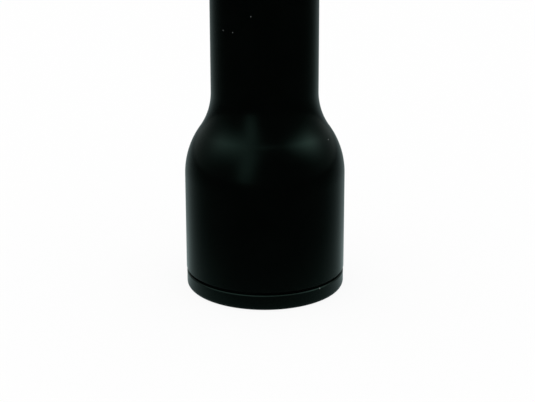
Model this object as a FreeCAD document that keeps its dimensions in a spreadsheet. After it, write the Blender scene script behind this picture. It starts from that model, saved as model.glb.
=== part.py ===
import FreeCAD, Part

import os
import re
import Sketcher

# Telecentric lens that stands on its front ring, +Z towards the camera
# The origin is the centre of the front rim, sizes are millimetres and degrees

SIZES = {
    # Outer form
    "head_diameter": 45,
    "head_length": 33.5,
    "shoulder_radius": 21,
    "hollow_radius": 20,
    "tube_diameter": 30,
    "barrel_length": 96,
    "edge_chamfer": 0.3,
    "thread_clearance": 0.05,
    # Front ring
    "ring_length": 4.6,
    "ring_round": 0.6,
    "ring_chamfer": 0.33,
    "groove_width": 0.6,
    "groove_depth": 0.6,
    "groove_edge": 0.18,
    "front_wall": 2.25,
    "filter_thread_end": 5,
    "filter_lead_in": 0.4,
    "filter_relief": 0.25,
    "spigot_length": 3,
    "spigot_wall": 0.95,
    # Front optics
    "front_cell_wall": 2.45,
    "lens_clearance": 0.05,
    "cement_gap": 0.02,
    "crown_front_radius": 62,
    "crown_edge": 2.2,
    "cement_radius": 52,
    "flint_thickness": 3,
    "flint_rear_radius": 150,
    "front_spacer_length": 3.2,
    "front_spacer_width": 1.4,
    "singlet_front_radius": 120,
    "singlet_thickness": 5,
    "clamp_thread_step": 0.6,
    "clamp_ring_width": 1.7,
    "clamp_ring_thickness": 1.8,
    "clamp_ring_recess": 0.35,
    "clamp_thread_length": 4,
    "spanner_slot_width": 1.4,
    "spanner_slot_depth": 0.8,
    # Inside of the tube
    "tube_wall": 2.25,
    "cone_lead": 3,
    "baffle_length": 4,
    "baffle_wall": 0.9,
    "baffle_disc": 0.8,
    "baffle_edge": 0.15,
    "front_baffle_lip": 1.7,
    "front_baffle_setback": 3,
    "rear_baffle_lip": 5.1,
    "rear_baffle_setback": 16,
    # Rear barrel
    "neck_socket_wall": 1.7,
    "rear_spigot_length": 5.8,
    "rear_spigot_relief": 0.2,
    "iris_wall": 1.75,
    "iris_setback": 2.6,
    "housing_step": 1.75,
    "housing_length": 22,
    "web_thickness": 4.6,
    "web_bore": 16,
    # Aperture ring
    "dial_ring_rise": 1.5,
    "dial_ring_width": 9.7,
    "dial_step": 0.3,
    "dial_ring_play": 0.15,
    "running_clearance": 0.05,
    "knurl_length": 5,
    "knurl_depth": 0.35,
    "knurl_width": 0.9,
    "knurl_count": 48,
    "aperture_travel": 48,
    "drive_screw_diameter": 1.4,
    "drive_screw_azimuth": 165,
    "drive_screw_engagement": 0.8,
    "drive_slot_clearance": 0.1,
    "screw_clearance": 0.05,
    # Lock screw
    "lock_screw_diameter": 2.5,
    "lock_screw_azimuth": 345,
    "lock_head_diameter": 5,
    "lock_head_length": 4,
    "lock_collar_length": 0.6,
    "lock_flute_count": 16,
    "lock_flute_diameter": 0.6,
    # Iris
    "iris_open_diameter": 5.6,
    "iris_closed_diameter": 1.4,
    "blade_count": 6,
    "blade_outer_diameter": 14,
    "blade_sweep": 150,
    "blade_thickness": 0.12,
    "blade_pitch": 0.22,
    "blade_clearance": 0.05,
    "ear_diameter": 2,
    "lever_width": 1.2,
    "lever_length": 3.457,
    "lever_angle": 94.5,
    "pivot_inset": 2.7,
    "pivot_pin_diameter": 0.8,
    "pivot_pin_clearance": 0.04,
    "pivot_pin_engagement": 0.8,
    "drive_pin_diameter": 0.6,
    "drive_pin_clearance": 0.06,
    "drive_pin_engagement": 0.6,
    "cam_gap": 0.23,
    "cam_play": 0.1,
    "cam_ring_width": 3.8,
    "cam_ring_clearance": 0.1,
    "base_plate_thickness": 1,
    "base_plate_bore": 6.2,
    "iris_ring_thickness": 2,
    "iris_ring_width": 1.85,
    # Relay optics
    "relay_lens_diameter": 17,
    "relay_lip_thickness": 1.2,
    "relay_lip_width": 0.7,
    "relay_cell_wall": 2.45,
    "relay_front_radius": 30,
    "relay_crown_edge": 1.45,
    "relay_cement_radius": 22,
    "relay_flint_thickness": 1.6,
    "relay_rear_radius": 60,
    "relay_spacer_length": 3.6,
    "relay_spacer_width": 0.9,
    "relay_singlet_radius": 35,
    "relay_singlet_thickness": 3.5,
    "relay_ring_step": 0.5,
    "relay_ring_thickness": 1.8,
    # Camera mount
    "register_wall": 1.95,
    "register_length": 3.5,
    "mount_bore": 21,
    "mount_flange_thickness": 4,
    "camera_thread_diameter": 25.4,
    "camera_thread_length": 4,
    "camera_thread_chamfer": 0.4,
    "set_screw_diameter": 2,
    "set_screw_count": 3,
    "set_screw_azimuth": 90,
    "set_screw_recess": 0.2,
    "hex_socket_width": 0.9,
    "hex_socket_depth": 0.7,
}


def sag(radius, aperture_radius):
    """Depth of a lens surface between its apex and a circle of the given radius."""
    return f"({radius} - sqrt({radius}^2 - {aperture_radius}^2))"


def turned_back(x, y, angle):
    """A point in the turned ring's own frame, as its two coordinates."""
    return (f"({x}) * cos({angle}) + ({y}) * sin({angle})", f"({y}) * cos({angle}) - ({x}) * sin({angle})")


def drive_pin_at(share):
    """Place of a drive pin in the cam ring's frame, after a share of the aperture travel."""
    angle = f"({share} * blade_swing - lever_angle)"
    x = f"pivot_r + lever_length * cos({angle})"
    y = f"lever_length * sin({angle})"
    return turned_back(x, y, f"{share} * aperture_travel")


# Radii, heights and angles that follow from the driving sizes

PLACES = {
    "head_r": "head_diameter / 2",
    "tube_r": "tube_diameter / 2",
    "shoulder_angle": "acos(1 - (head_r - tube_r) / (shoulder_radius + hollow_radius)) / 1 deg",
    "waist_r": "head_r - shoulder_radius * (1 - cos(shoulder_angle))",
    "waist_z": "head_length + shoulder_radius * sin(shoulder_angle)",
    "tube_start": "head_length + (shoulder_radius + hollow_radius) * sin(shoulder_angle)",
    "filter_r": "head_r - front_wall",
    "spigot_r": "filter_r + spigot_wall",
    "barrel_start": "ring_length + groove_width",
    "spigot_end": "barrel_start + spigot_length",
    "clamp_front": "spigot_end + clamp_ring_recess",
    "clamp_rear": "clamp_front + clamp_ring_thickness",
    "front_cell_r": "head_r - front_cell_wall",
    "front_lens_r": "front_cell_r - lens_clearance",
    "clamp_thread_r": "front_cell_r + clamp_thread_step",
    "clamp_ring_r": "clamp_thread_r - thread_clearance",
    "clamp_bore_r": "clamp_ring_r - clamp_ring_width",
    "spacer_bore_r": "front_lens_r - front_spacer_width",
    "crown_front": "clamp_rear - " + sag("crown_front_radius", "clamp_bore_r"),
    "crown_rear": "crown_front + crown_edge + " + sag("crown_front_radius", "front_lens_r") + " + "
                  + sag("cement_radius", "front_lens_r"),
    "flint_front": "crown_rear + cement_gap",
    "flint_rear": "flint_front + flint_thickness",
    "spacer_front": "flint_rear - " + sag("flint_rear_radius", "spacer_bore_r"),
    "spacer_rear": "spacer_front + front_spacer_length",
    "singlet_front": "spacer_rear - " + sag("singlet_front_radius", "spacer_bore_r"),
    "lens_seat": "singlet_front + singlet_thickness",
    "tube_bore_r": "tube_r - tube_wall",
    "baffle_r": "tube_bore_r - lens_clearance",
    "front_baffle_z": "tube_start + front_baffle_setback",
    "rear_baffle_z": "barrel_length - rear_baffle_setback",
    "neck_r": "tube_r - neck_socket_wall - thread_clearance",
    "iris_bore_r": "neck_r - iris_wall",
    "housing_r": "neck_r + housing_step",
    "rear_spigot_front": "barrel_length - rear_spigot_length",
    "neck_end": "barrel_length + dial_ring_width + 2 * dial_ring_play",
    "housing_end": "neck_end + housing_length",
    "iris_top": "neck_end - iris_setback",
    "cam_thickness": "drive_pin_engagement + (blade_count - 1) * blade_pitch + cam_play",
    "cam_top": "iris_top - cam_play",
    "cam_bottom": "cam_top - cam_thickness",
    "cam_r": "iris_bore_r - cam_ring_clearance",
    "blade_stack": "blade_clearance + (blade_count - 1) * blade_pitch + blade_thickness",
    "plate_top": "cam_bottom - cam_gap - blade_stack",
    "plate_bottom": "plate_top - base_plate_thickness",
    "plate_r": "iris_bore_r - thread_clearance",
    "iris_ring_bottom": "plate_bottom - iris_ring_thickness",
    "drive_screw_z": "(cam_bottom + cam_top) / 2",
    "drive_screw_r": "drive_screw_diameter / 2",
    "drive_slot_half": "drive_screw_r + drive_slot_clearance",
    "drive_slot_margin": "asin(drive_slot_half / iris_bore_r) / 1 deg",
    "dial_ring_start": "barrel_length + dial_ring_play",
    "dial_ring_end": "neck_end - dial_ring_play",
    "dial_bore_r": "neck_r + running_clearance",
    "knurl_end": "dial_ring_start + edge_chamfer + knurl_length",
    "dial_ring_r": "tube_r + dial_ring_rise",
    "dial_r": "dial_ring_r - dial_step",
    "lock_screw_z": "dial_ring_start + edge_chamfer + knurl_length / 2",
    "pivot_r": "iris_bore_r - pivot_inset",
    "blade_swing": "2 * asin((iris_open_diameter - iris_closed_diameter) / (4 * pivot_r)) / 1 deg",
    "pivot_pin_length": "blade_clearance + (blade_count - 1) * blade_pitch + pivot_pin_engagement",
    "drive_pin_length": "(blade_count - 1) * blade_pitch + cam_gap + drive_pin_engagement",
    "blade_mid_r": "(iris_open_diameter + blade_outer_diameter) / 4",
    "blade_half": "(blade_outer_diameter - iris_open_diameter) / 4",
    "slot_start_x": drive_pin_at(0)[0],
    "slot_start_y": drive_pin_at(0)[1],
    "slot_mid_x": drive_pin_at(0.5)[0],
    "slot_mid_y": drive_pin_at(0.5)[1],
    "slot_end_x": drive_pin_at(1)[0],
    "slot_end_y": drive_pin_at(1)[1],
    "slot_start_sq": "slot_start_x^2 + slot_start_y^2",
    "slot_mid_sq": "slot_mid_x^2 + slot_mid_y^2",
    "slot_end_sq": "slot_end_x^2 + slot_end_y^2",
    "slot_twice_area": "2 * (slot_start_x * (slot_mid_y - slot_end_y)"
                       " + slot_mid_x * (slot_end_y - slot_start_y)"
                       " + slot_end_x * (slot_start_y - slot_mid_y))",
    "slot_centre_x": "(slot_start_sq * (slot_mid_y - slot_end_y) + slot_mid_sq * (slot_end_y - slot_start_y)"
                     " + slot_end_sq * (slot_start_y - slot_mid_y)) / slot_twice_area",
    "slot_centre_y": "(slot_start_sq * (slot_end_x - slot_mid_x) + slot_mid_sq * (slot_start_x - slot_end_x)"
                     " + slot_end_sq * (slot_mid_x - slot_start_x)) / slot_twice_area",
    "slot_r": "sqrt((slot_start_x - slot_centre_x)^2 + (slot_start_y - slot_centre_y)^2)",
    "slot_half": "drive_pin_diameter / 2 + drive_pin_clearance",
    "relay_lens_r": "relay_lens_diameter / 2",
    "relay_lip_r": "relay_lens_r - relay_lip_width",
    "relay_spacer_r": "relay_lens_r - relay_spacer_width",
    "relay_cell_r": "relay_lens_r + relay_cell_wall",
    "relay_bore_r": "relay_cell_r + lens_clearance",
    "relay_ring_r": "relay_lens_r + relay_ring_step",
    "relay_cell_start": "iris_top + web_thickness",
    "relay_lip_end": "relay_cell_start + relay_lip_thickness",
    "relay_crown_front": "relay_lip_end - " + sag("relay_front_radius", "relay_lip_r"),
    "relay_crown_rear": "relay_crown_front + relay_crown_edge + " + sag("relay_front_radius", "relay_lens_r")
                        + " + " + sag("relay_cement_radius", "relay_lens_r"),
    "relay_flint_front": "relay_crown_rear + cement_gap",
    "relay_flint_rear": "relay_flint_front + relay_flint_thickness",
    "relay_spacer_front": "relay_flint_rear - " + sag("relay_rear_radius", "relay_spacer_r"),
    "relay_spacer_rear": "relay_spacer_front + relay_spacer_length",
    "relay_singlet_front": "relay_spacer_rear - " + sag("relay_singlet_radius", "relay_spacer_r"),
    "relay_singlet_rear": "relay_singlet_front + relay_singlet_thickness",
    "relay_ring_rear": "relay_singlet_rear + relay_ring_thickness",
    "relay_cell_end": "housing_end - register_length",
    "relay_lens_bore_r": "relay_lens_r + lens_clearance",
    "relay_thread_r": "relay_ring_r + thread_clearance",
    "register_r": "housing_r - register_wall - thread_clearance",
    "flange_end": "housing_end + mount_flange_thickness",
    "thread_end": "flange_end + camera_thread_length",
    "camera_thread_r": "camera_thread_diameter / 2",
    "set_screw_z": "housing_end - register_length / 2",
}

doc = FreeCAD.newDocument("TelecentricLens")
sheet = doc.addObject("Spreadsheet::Sheet", "Size")
for row, (name, number) in enumerate(SIZES.items(), start=1):
    sheet.set(f"A{row}", name)
    sheet.set(f"B{row}", str(number))
    sheet.setAlias(f"B{row}", name)
doc.recompute()


def bound(text):
    """Point each size or place that an expression names at the object that holds it."""
    def with_owner(match):
        name = match.group()
        if name in SIZES:
            return "Size." + name
        if name in PLACES:
            return "Place." + name
        return name
    return re.sub(r"[a-z_]+", with_owner, str(text))


places = doc.addObject("App::VarSet", "Place")
for name, text in PLACES.items():
    places.addProperty("App::PropertyFloat", name)
    places.setExpression(name, bound(text))
doc.recompute()

parts = []


def value(text):
    """Present value of an expression, for a first position that the constraints then keep."""
    return float(places.evalExpression(bound(text)))


# Helpers for bodies and sketches

def new_body(label):
    """An empty body that is written to a file of its own."""
    body = doc.addObject("PartDesign::Body", label)
    body.Label = label
    parts.append(body)
    return body


def new_sketch(body, name, plane, height="0"):
    """A sketch on one of the body's own origin planes, lifted along the plane's normal."""
    sketch = body.newObject("Sketcher::SketchObject", name)
    origin_plane = next(item for item in body.Origin.OriginFeatures if item.Role == plane)
    sketch.AttachmentSupport = [(origin_plane, "")]
    sketch.MapMode = "FlatFace"
    sketch.setExpression("AttachmentOffset.Base.z", bound(height))
    return sketch


def constrain(sketch, kind, where, text):
    """A dimension in the sketch that follows an expression."""
    index = sketch.addConstraint(Sketcher.Constraint(kind, *where, value(text)))
    sketch.setExpression(f"Constraints[{index}]", bound(text))


def place_point(sketch, edge, end, x, y):
    """Hold one end or centre of an edge at a place measured from the sketch's origin."""
    constrain(sketch, "DistanceX", (-1, 1, edge, end), x)
    constrain(sketch, "DistanceY", (-1, 1, edge, end), y)


def arc_between(start, end, radius, side):
    """Arc from start to end, anticlockwise when side is 1 and clockwise when it is -1."""
    chord = end - start
    across = FreeCAD.Vector(-chord.y, chord.x, 0).normalize()
    rise = max(radius ** 2 - (chord.Length / 2) ** 2, 0) ** 0.5
    middle = (start + end) / 2
    centre = middle + across * rise * side
    first, last = (start, end) if side == 1 else (end, start)
    circle = Part.Circle(centre, FreeCAD.Vector(0, 0, 1), radius)
    return Part.ArcOfCircle(circle, circle.parameter(first), circle.parameter(last))


def draw_outline(sketch, corners):
    """Closed outline. A corner is x, y and, where an arc starts there, its radius and its side."""
    points = [FreeCAD.Vector(value(corner[0]), value(corner[1]), 0) for corner in corners]
    edges = []
    for index, corner in enumerate(corners):
        start = points[index]
        end = points[(index + 1) % len(points)]
        if len(corner) == 2:
            edges.append((sketch.addGeometry(Part.LineSegment(start, end)), 1, 2))
        else:
            radius, side = corner[2:]
            ends = (1, 2) if side == 1 else (2, 1)
            edges.append((sketch.addGeometry(arc_between(start, end, value(radius), side)), *ends))
    for index, (edge, first, last) in enumerate(edges):
        after, after_first, _ = edges[(index + 1) % len(edges)]
        sketch.addConstraint(Sketcher.Constraint("Coincident", edge, last, after, after_first))
    for (edge, first, last), corner in zip(edges, corners):
        place_point(sketch, edge, first, corner[0], corner[1])
        if len(corner) == 4:
            constrain(sketch, "Radius", (edge,), corner[2])


def round_end(x, y, ahead_x, ahead_y, half):
    """Right side, tip and left side of a half circle about x, y whose tip lies ahead."""
    right = (f"{x} + {half} * {ahead_y}", f"{y} - {half} * {ahead_x}")
    tip = (f"{x} + {half} * {ahead_x}", f"{y} + {half} * {ahead_y}")
    left = (f"{x} - {half} * {ahead_y}", f"{y} + {half} * {ahead_x}")
    return right, tip, left


def draw_circle(sketch, x, y, radius):
    """Circle with its centre at x, y."""
    centre = FreeCAD.Vector(value(x), value(y), 0)
    edge = sketch.addGeometry(Part.Circle(centre, FreeCAD.Vector(0, 0, 1), value(radius)))
    place_point(sketch, edge, 3, x, y)
    constrain(sketch, "Radius", (edge,), radius)


def revolve(body, name, corners):
    """Turned form: an outline of radius and height, swept round the Z axis."""
    sketch = new_sketch(body, name + "_outline", "XZ_Plane")
    draw_outline(sketch, corners)
    turn = body.newObject("PartDesign::Revolution", name)
    turn.Profile = sketch
    turn.ReferenceAxis = (sketch, ["V_Axis"])
    turn.Angle = 360
    return turn


def pad(body, name, sketch, length, down=False):
    """Raise the sketch by a length, or lower it."""
    feature = body.newObject("PartDesign::Pad", name)
    feature.Profile = sketch
    feature.setExpression("Length", bound(length))
    feature.Reversed = down
    return feature


def pocket(body, name, sketch, length, up=True, both=False):
    """Cut the sketch into the body and see that it takes material away."""
    doc.recompute()
    before = body.Shape.Volume
    feature = body.newObject("PartDesign::Pocket", name)
    feature.Profile = sketch
    feature.setExpression("Length", bound(length))
    feature.Reversed = up
    if both:
        feature.SideType = "Symmetric"
    doc.recompute()
    if not body.Shape.Volume < before:
        raise ValueError(f"{name} cuts nothing")
    return feature


def repeat(body, name, feature, count):
    """Copies of one feature, evenly spaced round the Z axis."""
    pattern = body.newObject("PartDesign::PolarPattern", name)
    pattern.Originals = [feature]
    axis = next(item for item in body.Origin.OriginFeatures if item.Role == "Z_Axis")
    pattern.Axis = (axis, [""])
    pattern.Angle = 360
    pattern.setExpression("Occurrences", bound(count))
    body.Tip = pattern
    return pattern


def turned(label, corners):
    """A body made by one turned form."""
    body = new_body(label)
    revolve(body, label + "_turned", corners)
    return body


def lens(label, edge, front, rear, front_curve, rear_curve):
    """Lens on the Z axis. A curve is a radius and 1 for convex, -1 for hollow, or None for flat."""
    corners = [["0", front], [edge, front], [edge, rear], ["0", rear]]
    if front_curve:
        radius, side = front_curve
        corners[1][1] = f"{front} + {side} * " + sag(radius, edge)
        corners[0] += [radius, side]
    if rear_curve:
        radius, side = rear_curve
        corners[2][1] = f"{rear} - {side} * " + sag(radius, edge)
        corners[2] += [radius, side]
    return turned(label, corners)


def radial_hole(body, name, azimuth, height, radius, inner, outer):
    """Round hole that runs outwards at one azimuth, between two distances from the Z axis."""
    sketch = new_sketch(body, name + "_outline", "YZ_Plane")
    upright = FreeCAD.Vector(0, 1, 0)
    sketch.AttachmentOffset = FreeCAD.Placement(FreeCAD.Vector(), FreeCAD.Rotation(upright, 1))
    sketch.setExpression("AttachmentOffset.Rotation.Angle", bound(azimuth))
    sketch.setExpression("AttachmentOffset.Base.x", bound(f"({inner}) * sin({azimuth})"))
    sketch.setExpression("AttachmentOffset.Base.z", bound(f"({inner}) * cos({azimuth})"))
    draw_circle(sketch, "0", height, radius)
    return pocket(body, name, sketch, f"{outer} - ({inner})")


def spanner_slots(body, face, width, radius, depth):
    """Two slots across the front face of a ring, for a pin spanner."""
    sketch = new_sketch(body, body.Label + "_slots_outline", "XY_Plane", face)
    half = f"{width} / 2"
    draw_outline(sketch, [
        (f"-({radius})", f"-({half})"),
        (radius, f"-({half})"),
        (radius, half),
        (f"-({radius})", half),
    ])
    pocket(body, body.Label + "_slots", sketch, depth)


def hex_socket(body, name, face, width, depth, up):
    """Six-sided key socket on the Z axis."""
    sketch = new_sketch(body, name + "_outline", "XY_Plane", face)
    corner = f"{width} / sqrt(3)"
    draw_outline(sketch, [(f"{corner} * cos({60 * k})", f"{corner} * sin({60 * k})") for k in range(6)])
    return pocket(body, name, sketch, depth, up=up)


# Front ring with the filter thread's bore

def make_front_ring():
    """Ring that the lens stands on; its spigot screws into the barrel."""
    turned("front_ring", [
        ("filter_r + filter_lead_in", "0"),
        ("head_r - ring_round", "0", "ring_round", 1),
        ("head_r", "ring_round"),
        ("head_r", "ring_length - ring_chamfer"),
        ("head_r - ring_chamfer", "ring_length"),
        ("head_r - groove_depth", "ring_length"),
        ("head_r - groove_depth", "barrel_start"),
        ("spigot_r", "barrel_start"),
        ("spigot_r", "spigot_end"),
        ("filter_r + filter_relief", "spigot_end"),
        ("filter_r + filter_relief", "filter_thread_end + filter_relief"),
        ("filter_r", "filter_thread_end"),
        ("filter_r", "filter_lead_in"),
    ])


# Head, shoulder and tube

def make_main_barrel():
    """One turned piece whose bore holds the front optics and follows the shoulder to the tube."""
    turned("main_barrel", [
        ("spigot_r + thread_clearance", "barrel_start"),
        ("head_r - groove_edge", "barrel_start"),
        ("head_r", "barrel_start + groove_edge"),
        ("head_r", "head_length", "shoulder_radius", 1),
        ("waist_r", "waist_z", "hollow_radius", -1),
        ("tube_r", "tube_start"),
        ("tube_r", "barrel_length - edge_chamfer"),
        ("tube_r - edge_chamfer", "barrel_length"),
        ("neck_r + thread_clearance", "barrel_length"),
        ("neck_r + thread_clearance", "rear_spigot_front - rear_spigot_relief"),
        ("tube_bore_r", "rear_spigot_front - rear_spigot_relief"),
        ("tube_bore_r", "tube_start - cone_lead"),
        ("spacer_bore_r", "head_length"),
        ("spacer_bore_r", "lens_seat"),
        ("front_cell_r", "lens_seat"),
        ("front_cell_r", "clamp_front + clamp_thread_length"),
        ("clamp_thread_r", "clamp_front + clamp_thread_length"),
        ("clamp_thread_r", "spigot_end + thread_clearance"),
        ("spigot_r + thread_clearance", "spigot_end + thread_clearance"),
    ])


# Front optics, from the clamp ring to the seat in the barrel

def make_front_optics():
    """Cemented doublet, spacer, singlet and the ring that clamps them."""
    body = turned("front_retaining_ring", [
        ("clamp_bore_r", "clamp_front"),
        ("clamp_ring_r", "clamp_front"),
        ("clamp_ring_r", "clamp_rear"),
        ("clamp_bore_r", "clamp_rear"),
    ])
    spanner_slots(body, "clamp_front", "spanner_slot_width", "head_r", "spanner_slot_depth")
    lens("front_crown_lens", "front_lens_r", "crown_front", "crown_rear",
         ("crown_front_radius", 1), ("cement_radius", 1))
    lens("front_flint_lens", "front_lens_r", "flint_front", "flint_rear",
         ("cement_radius", -1), ("flint_rear_radius", 1))
    turned("front_spacer", [
        ("spacer_bore_r", "spacer_front"),
        ("front_lens_r", "spacer_front"),
        ("front_lens_r", "spacer_rear"),
        ("spacer_bore_r", "spacer_rear"),
    ])
    lens("front_singlet_lens", "front_lens_r", "singlet_front", "lens_seat",
         ("singlet_front_radius", 1), None)


# Light traps in the tube

def make_baffle(label, front, lip):
    """Short cup with a bevelled hole, a close fit in the tube."""
    turned(label, [
        (f"baffle_r - {lip}", front),
        ("baffle_r", front),
        ("baffle_r", f"{front} + baffle_length"),
        ("baffle_r - baffle_wall", f"{front} + baffle_length"),
        ("baffle_r - baffle_wall", f"{front} + baffle_disc"),
        (f"baffle_r - {lip} + baffle_disc - baffle_edge", f"{front} + baffle_disc"),
        (f"baffle_r - {lip}", f"{front} + baffle_edge"),
    ])


# Rear barrel

def make_rear_barrel():
    """Neck for the aperture ring, iris chamber, relay bore and register for the camera mount."""
    body = turned("rear_barrel", [
        ("iris_bore_r", "rear_spigot_front"),
        ("neck_r", "rear_spigot_front"),
        ("neck_r", "neck_end"),
        ("housing_r - edge_chamfer", "neck_end"),
        ("housing_r", "neck_end + edge_chamfer"),
        ("housing_r", "housing_end - edge_chamfer"),
        ("housing_r - edge_chamfer", "housing_end"),
        ("register_r + thread_clearance", "housing_end"),
        ("register_r + thread_clearance", "relay_cell_end"),
        ("relay_bore_r", "relay_cell_end"),
        ("relay_bore_r", "relay_cell_start"),
        ("web_bore / 2", "relay_cell_start"),
        ("web_bore / 2", "iris_top"),
        ("iris_bore_r", "iris_top"),
    ])
    sketch = new_sketch(body, "drive_slot_outline", "XY_Plane", "drive_screw_z")
    inner = "iris_bore_r - drive_slot_clearance"
    outer = "neck_r + running_clearance"
    first = "drive_screw_azimuth - drive_slot_margin"
    last = "drive_screw_azimuth + aperture_travel + drive_slot_margin"
    draw_outline(sketch, [
        (f"({inner}) * cos({first})", f"({inner}) * sin({first})"),
        (f"({outer}) * cos({first})", f"({outer}) * sin({first})", outer, 1),
        (f"({outer}) * cos({last})", f"({outer}) * sin({last})"),
        (f"({inner}) * cos({last})", f"({inner}) * sin({last})", inner, -1),
    ])
    pocket(body, "drive_slot", sketch, "2 * drive_slot_half", both=True)
    hole = radial_hole(body, "set_screw_hole", "set_screw_azimuth", "set_screw_z",
                       "set_screw_diameter / 2", "register_r", "housing_r + edge_chamfer")
    repeat(body, "set_screw_holes", hole, "set_screw_count")


# Aperture ring and the two screws that it carries

def make_aperture_ring():
    """Ring with a knurled band and a plain dial band, running on the neck."""
    body = turned("aperture_ring", [
        ("dial_bore_r", "dial_ring_start"),
        ("dial_ring_r - edge_chamfer", "dial_ring_start"),
        ("dial_ring_r", "dial_ring_start + edge_chamfer"),
        ("dial_ring_r", "knurl_end"),
        ("dial_r", "knurl_end"),
        ("dial_r", "dial_ring_end - edge_chamfer"),
        ("dial_r - edge_chamfer", "dial_ring_end"),
        ("dial_bore_r", "dial_ring_end"),
    ])
    radial_hole(body, "drive_screw_hole", "drive_screw_azimuth", "drive_screw_z",
                "drive_screw_r + screw_clearance", "neck_r", "dial_ring_r")
    radial_hole(body, "lock_screw_hole", "lock_screw_azimuth", "lock_screw_z",
                "lock_screw_diameter / 2", "neck_r", "dial_ring_r + edge_chamfer")
    sketch = new_sketch(body, "knurl_outline", "XY_Plane", "dial_ring_start")
    top = "dial_ring_r + knurl_depth"
    draw_outline(sketch, [
        ("dial_ring_r - knurl_depth", "0"),
        (top, "-(knurl_width)"),
        (top, "knurl_width"),
    ])
    groove = pocket(body, "knurl_groove", sketch, "knurl_end - dial_ring_start")
    repeat(body, "knurl", groove, "knurl_count")


def make_drive_screw():
    """Headless screw from the aperture ring, through the neck's slot, into the cam ring."""
    body = new_body("iris_drive_screw")
    inner = "cam_r - drive_screw_engagement"
    sketch = new_sketch(body, "drive_screw_outline", "XY_Plane", inner)
    draw_circle(sketch, "0", "0", "drive_screw_r")
    pad(body, "drive_screw_shank", sketch, f"dial_r - screw_clearance - ({inner})")
    hex_socket(body, "drive_screw_socket", "dial_r - screw_clearance", "hex_socket_width",
               "hex_socket_depth", up=False)
    lay_radially(body, "drive_screw_azimuth", "drive_screw_z")


def lay_radially(body, azimuth, height):
    """Turn a body's own Z axis to point outwards at one azimuth and lift it to a height."""
    level = FreeCAD.Rotation(FreeCAD.Vector(0, 1, 0), 90)
    around = FreeCAD.Rotation(FreeCAD.Vector(0, 0, 1), value(azimuth))
    body.Placement = FreeCAD.Placement(FreeCAD.Vector(0, 0, value(height)), around.multiply(level))
    body.setExpression("Placement.Base.z", bound(height))


def make_lock_screw():
    """Thumb screw with a fluted head; its tip bears on the neck when it is tight."""
    body = new_body("lock_screw")
    tip = "dial_bore_r"
    collar = "dial_ring_r + screw_clearance"
    head = f"{collar} + lock_collar_length"
    steps = [
        ("shank", tip, "lock_screw_diameter / 2 - screw_clearance", f"{collar} - ({tip})"),
        ("collar", collar, "lock_head_diameter / 3", "lock_collar_length"),
        ("head", head, "lock_head_diameter / 2", "lock_head_length"),
    ]
    for name, start, radius, length in steps:
        sketch = new_sketch(body, f"lock_{name}_outline", "XY_Plane", start)
        draw_circle(sketch, "0", "0", radius)
        pad(body, f"lock_{name}", sketch, length)
    sketch = new_sketch(body, "lock_flute_outline", "XY_Plane", head)
    draw_circle(sketch, "lock_head_diameter / 2", "0", "lock_flute_diameter / 2")
    flute = pocket(body, "lock_flute", sketch, "lock_head_length")
    repeat(body, "lock_flutes", flute, "lock_flute_count")
    lay_radially(body, "lock_screw_azimuth", "lock_screw_z")


# Iris: base plate, blades in a staircase and the cam ring

def make_iris_plate():
    """Plate with one pivot hole for each blade, and the ring that holds it."""
    body = turned("iris_base_plate", [
        ("base_plate_bore / 2", "plate_bottom"),
        ("plate_r", "plate_bottom"),
        ("plate_r", "plate_top"),
        ("base_plate_bore / 2", "plate_top"),
    ])
    sketch = new_sketch(body, "pivot_hole_outline", "XY_Plane", "plate_bottom")
    draw_circle(sketch, "pivot_r", "0", "pivot_pin_diameter / 2 + pivot_pin_clearance")
    hole = pocket(body, "pivot_hole", sketch, "base_plate_thickness")
    repeat(body, "pivot_holes", hole, "blade_count")
    ring = turned("iris_retaining_ring", [
        ("plate_r - iris_ring_width", "iris_ring_bottom"),
        ("plate_r", "iris_ring_bottom"),
        ("plate_r", "plate_bottom"),
        ("plate_r - iris_ring_width", "plate_bottom"),
    ])
    spanner_slots(ring, "iris_ring_bottom", "spanner_slot_width", "iris_bore_r", "spanner_slot_depth")


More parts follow.
